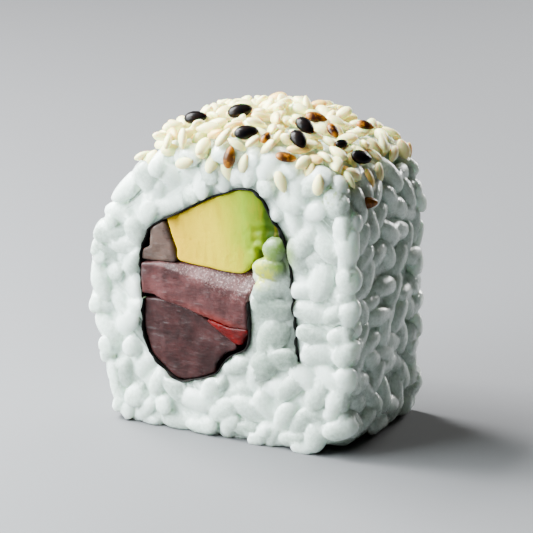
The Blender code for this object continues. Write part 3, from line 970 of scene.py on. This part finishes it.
def make_seeds(sizes):
    """The places of the seeds by kind, each as (matrix, size)."""
    chance = random.Random(5)
    rice = bpy.data.objects["cooked_rice"]
    graph = bpy.context.evaluated_depsgraph_get()
    tree = BVHTree.FromObject(rice, graph)
    skin = Skin(sizes, tree)
    size = [s / MM for s in (sizes.seed_length, sizes.seed_width, sizes.seed_thickness)]
    places = {"cream": [], "toasted": [], "black": []}

    def drop(kind, i, y, heading, tilt, roll, most, shown=0):
        scale = chance.uniform(0.9, 1.12)
        grown = [s * scale * chance.uniform(0.94, 1.06) for s in size]
        if kind == "black":
            grown = BLACK_SEED
        if shown:
            grown = [s * shown for s in grown]
        matrix = skin.place(i, y, heading, grown, tilt, roll, most, shown)
        if matrix:
            places[kind].append(matrix @ Matrix.Diagonal((*(s * MM for s in grown), 1)))

    def drop_shown():
        """The seeds that stand out, with nothing on them."""
        for kind, x, y, heading, share in TOP_SEEDS:
            i = int(tops[abs(skin.line[tops, 0] - x).argmin()])
            drop(kind, i, y, math.radians(heading), 0, 0, 9, share)

    tops = np.flatnonzero(skin.out[:, 1] > 0.12)
    for turn in range(SEED_TRIES):
        if turn == SEED_TRIES * SHOWN_AFTER:
            drop_shown()
        i = int(chance.choice(tops))
        y = chance.uniform(-skin.end + 0.4, skin.end - 0.6)
        up = skin.out[i][1]
        heading, tilt = chance.uniform(0, 2 * math.pi), chance.gauss(0, 0.16)
        low = 0.62 if skin.line[i][0] < 0 else 0.42
        if chance.random() < min(1, max(0, (up - low) * 2.4)) ** 2:
            if chance.random() < UPRIGHT_SHARE:
                tilt = chance.uniform(0.5, 0.9)
            kind = "toasted" if chance.random() < TOASTED_SHARE else "cream"
            x = skin.line[i][0]
            most = 2.0 - 0.13 * max(0, x - 6) - 0.4 * max(0, -11 - x)
            drop(kind, i, y, heading, tilt, chance.gauss(0, 0.3), most)

    def stick(kind, origin, ray, heading, cling=1.0):
        """A seed on the rice where the ray meets it, flat on it at 1 and facing along the ray at 0."""
        hit, normal = tree.ray_cast(Vector(origin) * MM, Vector(ray))[:2]
        grown = [s * chance.uniform(0.92, 1.08) for s in size]
        normal = (normal * cling - Vector(ray)).normalized()
        middle = hit / MM + (LOOSE_LIFT - CLING_DROP * cling) * normal
        matrix = lying(middle, normal, math.radians(heading), 0.05, 0)
        places[kind].append(matrix @ Matrix.Diagonal((*(s * MM for s in grown), 1)))

    for kind, x, z, heading in FACE_SEEDS:
        stick(kind, (x, -40, z), (0, 1, 0), heading)
    for kind, y, z, heading in SIDE_SEEDS:
        cling = 0.2 if kind == "toasted" else 1
        stick(kind, (42.5, y - 20, z), (-0.707, 0.707, 0), heading + 90, cling)
    return places


class ROLL_OT_sesame(bpy.types.Operator):
    """The sesame on the roll: cream, toasted and black seeds"""

    bl_idname = "roll.add_sesame"
    bl_label = "Add the sesame"

    def execute(self, context):
        chance = random.Random(3)
        seed = seed_mesh()
        along = points_of(seed)[:, 0] * MM * 2
        for kind, places in make_seeds(context.scene.roll_sizes).items():
            piece = joined("sesame_" + kind, [(seed, place) for place in places])
            tones = np.repeat([chance.random() for _ in places], len(along))
            set_attribute(piece.data, "tone", tones)
            set_attribute(piece.data, "along", np.tile(along, len(places)))
            finish_piece(piece, seed_material(context.scene.roll_colours, kind))
        return {"FINISHED"}


class ROLL_OT_nori(bpy.types.Operator):
    """The sheet of nori, wound once round the filling"""

    bl_idname = "roll.add_nori"
    bl_label = "Add the nori"

    def execute(self, context):
        sizes = context.scene.roll_sizes
        end = sizes.length / MM / 2 - 0.45
        rows = 44
        bm = bmesh.new()
        line = nori_line()
        verts = [bm.verts.new((x * MM, -end * MM, z * MM)) for x, z in line]
        edges = [bm.edges.new(pair) for pair in zip(verts, verts[1:])]
        for _ in range(rows):
            made = bmesh.ops.extrude_edge_only(bm, edges=edges)["geom"]
            moved = [part for part in made if isinstance(part, bmesh.types.BMVert)]
            edges = [part for part in made if isinstance(part, bmesh.types.BMEdge)]
            edges = [edge for edge in edges if all(v in set(moved) for v in edge.verts)]
            bmesh.ops.translate(bm, verts=moved, vec=(0, 2 * end / rows * MM, 0))
        bmesh.ops.recalc_face_normals(bm, faces=bm.faces)
        for v in bm.verts:
            worn = noise.noise(v.co / MM / 1.1) * 0.55
            if abs(v.co.y) > (end - 0.1) * MM:
                v.co.y += worn * MM
            if v.co.y < (0.5 - end) * MM:
                spot = (v.co.x / MM, v.co.z / MM)
                torn = max(max(0, 1 - math.dist(spot, tear) / TEAR_REACH) for tear in NORI_TEARS)
                v.co += Vector((0.4, -0.9, 0)) * torn * MM
        nori = add_object("nori_sheet", to_mesh("nori_sheet", bm))
        change(nori, "SOLIDIFY", thickness=sizes.nori_thickness, offset=0, use_even_offset=True)
        points = points_of(nori.data)
        normals = np.array([v.normal for v in nori.data.vertices])
        move_points(nori.data, points + normals * (bumps(points, 0.8, 2) * 0.11)[:, None])
        finish_piece(nori, nori_material(context.scene.roll_colours), ["nori"])
        return {"FINISHED"}


def filling_object(sizes, name, shape, relief):
    """A strip of filling from face to face, its surface moved by the relief."""
    outline, behind = shape
    end = sizes.length / MM / 2 - behind
    line = spline(outline, True, 0.7)
    line += leftward(line, closed=True) * 0.12
    sheet = nori_line(0.2)
    near = nearest(sheet, line)
    gap = np.linalg.norm(line - near, axis=1)[:, None]
    touching = near + (line - near) / gap * (sizes.nori_thickness / MM / 2 + 0.05)
    hugs = (gap[:, 0] < 1.7) & ((line[:, 1] > 17) | (line[:, 0] < -1))
    hugs &= (line[:, 0] > -10.8) | (abs(line[:, 1] - 29.2) > 1.2)
    line[hugs] = touching[hugs]
    bm = extruded(line, list(np.linspace(-end, end, 9)))
    rims = [
        edge for edge in bm.edges
        if all(abs(abs(v.co.y) - end * MM) < 1e-6 for v in edge.verts) and not edge.is_wire
        and edge.calc_face_angle(0) > 1
    ]  # fmt: skip
    bmesh.ops.bevel(bm, geom=rims, offset=0.2 * MM, segments=2, affect="EDGES", profile=0.5, material=-1)
    piece = add_object(name, to_mesh(name, bm))
    change(piece, "REMESH", mode="VOXEL", voxel_size=0.25 * MM)
    change(piece, "SMOOTH", factor=0.5, iterations=2)
    points = points_of(piece.data)
    normals = np.array([v.normal for v in piece.data.vertices])
    move_points(piece.data, relief(points, normals, end))
    return piece


def tuna_relief(name):
    def relief(points, normals, end):
        """Low waves, and on the upper slab a sloping front edge along its top."""
        seed = sum(map(ord, name))
        wave = bumps(points * (1, 0.35, 1), 2.6, seed) * 0.16 + bumps(points, 0.9, seed) * 0.05
        points = points + normals * wave[:, None]
        if name == "tuna_upper":
            slope = np.clip((points[:, 0] + 12) / 16, 0, 1)
            depth = points[:, 2] - (26.2 - 2.6 * slope)
            front = np.clip((-points[:, 1] - end + 3) / 3, 0, 1)
            points[:, 1] += np.clip(depth, 0, 3) * 0.7 * front
        return points
    return relief


def avocado_relief(points, normals, end):
    """Faint ripples of the knife, and flesh mashed where it meets the rice."""
    wave = bumps(points * (1, 0.3, 0.2), 2.2, 8) * 0.07
    mashed = np.clip((points[:, 0] - 4.5) / 2.5, 0, 1) * np.clip((35 - points[:, 2]) / 4, 0, 1)
    wave += mashed * (bumps(points, 1.1, 4) * 0.9 + 0.1)
    return points + normals * wave[:, None]


class ROLL_OT_avocado(bpy.types.Operator):
    """The strip of avocado"""

    bl_idname = "roll.add_avocado"
    bl_label = "Add the avocado"

    def execute(self, context):
        piece = filling_object(context.scene.roll_sizes, "avocado_strip", AVOCADO, avocado_relief)
        finish_piece(piece, avocado_material(context.scene.roll_colours), ["avocado"])
        return {"FINISHED"}


class ROLL_OT_tuna(bpy.types.Operator):
    """The four pieces of tuna"""

    bl_idname = "roll.add_tuna"
    bl_label = "Add the tuna"

    def execute(self, context):
        for name, shape in TUNA.items():
            piece = filling_object(context.scene.roll_sizes, name + "_cut", shape, tuna_relief(name))
            finish_piece(piece, tuna_material(context.scene.roll_colours, name), [name])
        return {"FINISHED"}


def add_light(name, place, size, power, tint):
    """A square soft light that faces the roll."""
    light = bpy.data.lights.new(name, "AREA")
    light.size = size
    light.energy = power
    light.color = tint
    made = bpy.data.objects.new(name, light)
    made.location = place
    made.rotation_mode = "QUATERNION"
    made.rotation_quaternion = Vector(place).to_track_quat("Z", "Y")
    bpy.context.scene.collection.objects.link(made)


def direction(azimuth, elevation):
    """The direction from the roll towards a place that the camera's angles name."""
    a, e = math.radians(azimuth), math.radians(elevation)
    return Vector((math.sin(a) * math.cos(e), -math.cos(a) * math.cos(e), math.sin(e)))


def add_camera():
    back = direction(CAMERA_AZIMUTH, CAMERA_ELEVATION)
    data = bpy.data.cameras.new("camera")
    data.sensor_width = 36
    data.lens = FOCAL_PX / IMAGE_PX * data.sensor_width
    data.shift_x = (IMAGE_PX / 2 - TARGET_PX[0]) / IMAGE_PX
    data.shift_y = (TARGET_PX[1] - IMAGE_PX / 2) / IMAGE_PX
    data.clip_start = 0.01
    data.dof.use_dof = False
    camera = bpy.data.objects.new("camera", data)
    camera.location = Vector((0, 0, TARGET_HEIGHT * MM)) + back * CAMERA_DISTANCE * MM
    camera.rotation_mode = "QUATERNION"
    camera.rotation_quaternion = back.to_track_quat("Z", "Y")
    bpy.context.scene.collection.objects.link(camera)
    bpy.context.scene.camera = camera


class ROLL_OT_stage(bpy.types.Operator):
    """The plain floor, the studio lights and the camera"""

    bl_idname = "roll.add_stage"
    bl_label = "Add the stage"

    def execute(self, context):
        bm = bmesh.new()
        bmesh.ops.create_grid(bm, x_segments=1, y_segments=1, size=3)
        floor = add_object("floor", to_mesh("floor", bm))
        material, tree, shader, _ = new_material("matt_paper")
        feed(tree, shader, {"Base Color": context.scene.roll_colours.floor, "Roughness": 0.8})
        floor.data.materials.append(material)
        for name, azimuth, elevation, distance, size, power, tint in LIGHTS:
            add_light(name, direction(azimuth, elevation) * distance, size, power, tint)
        world = bpy.data.worlds.new("studio")
        world.use_nodes = True
        background = world.node_tree.nodes["Background"]
        feed(world.node_tree, background, {"Color": linear(WORLD_COLOUR), "Strength": WORLD_STRENGTH})
        context.scene.world = world
        add_camera()
        return {"FINISHED"}


class ROLL_PT_panel(bpy.types.Panel):
    bl_label = "Uramaki Roll"
    bl_idname = "ROLL_PT_panel"
    bl_space_type = "VIEW_3D"
    bl_region_type = "UI"
    bl_category = "Roll"

    def draw(self, context):
        for operator in OPERATORS:
            self.layout.operator(operator.bl_idname)
        for group in (context.scene.roll_sizes, context.scene.roll_colours):
            for name in group.__annotations__:
                self.layout.prop(group, name)


OPERATORS = (ROLL_OT_rice, ROLL_OT_sesame, ROLL_OT_nori, ROLL_OT_avocado, ROLL_OT_tuna, ROLL_OT_stage)
CLASSES = (RollSizes, RollColours, *OPERATORS, ROLL_PT_panel)


def register():
    for kind in CLASSES:
        bpy.utils.register_class(kind)
    bpy.types.Scene.roll_sizes = bpy.props.PointerProperty(type=RollSizes)
    bpy.types.Scene.roll_colours = bpy.props.PointerProperty(type=RollColours)


def unregister():
    del bpy.types.Scene.roll_colours
    del bpy.types.Scene.roll_sizes
    for kind in reversed(CLASSES):
        bpy.utils.unregister_class(kind)


def main():
    register()
    bpy.ops.roll.add_rice()
    bpy.ops.roll.add_sesame()
    bpy.ops.roll.add_nori()
    bpy.ops.roll.add_avocado()
    bpy.ops.roll.add_tuna()
    bpy.ops.roll.add_stage()
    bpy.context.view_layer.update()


if __name__ == "__main__":
    main()
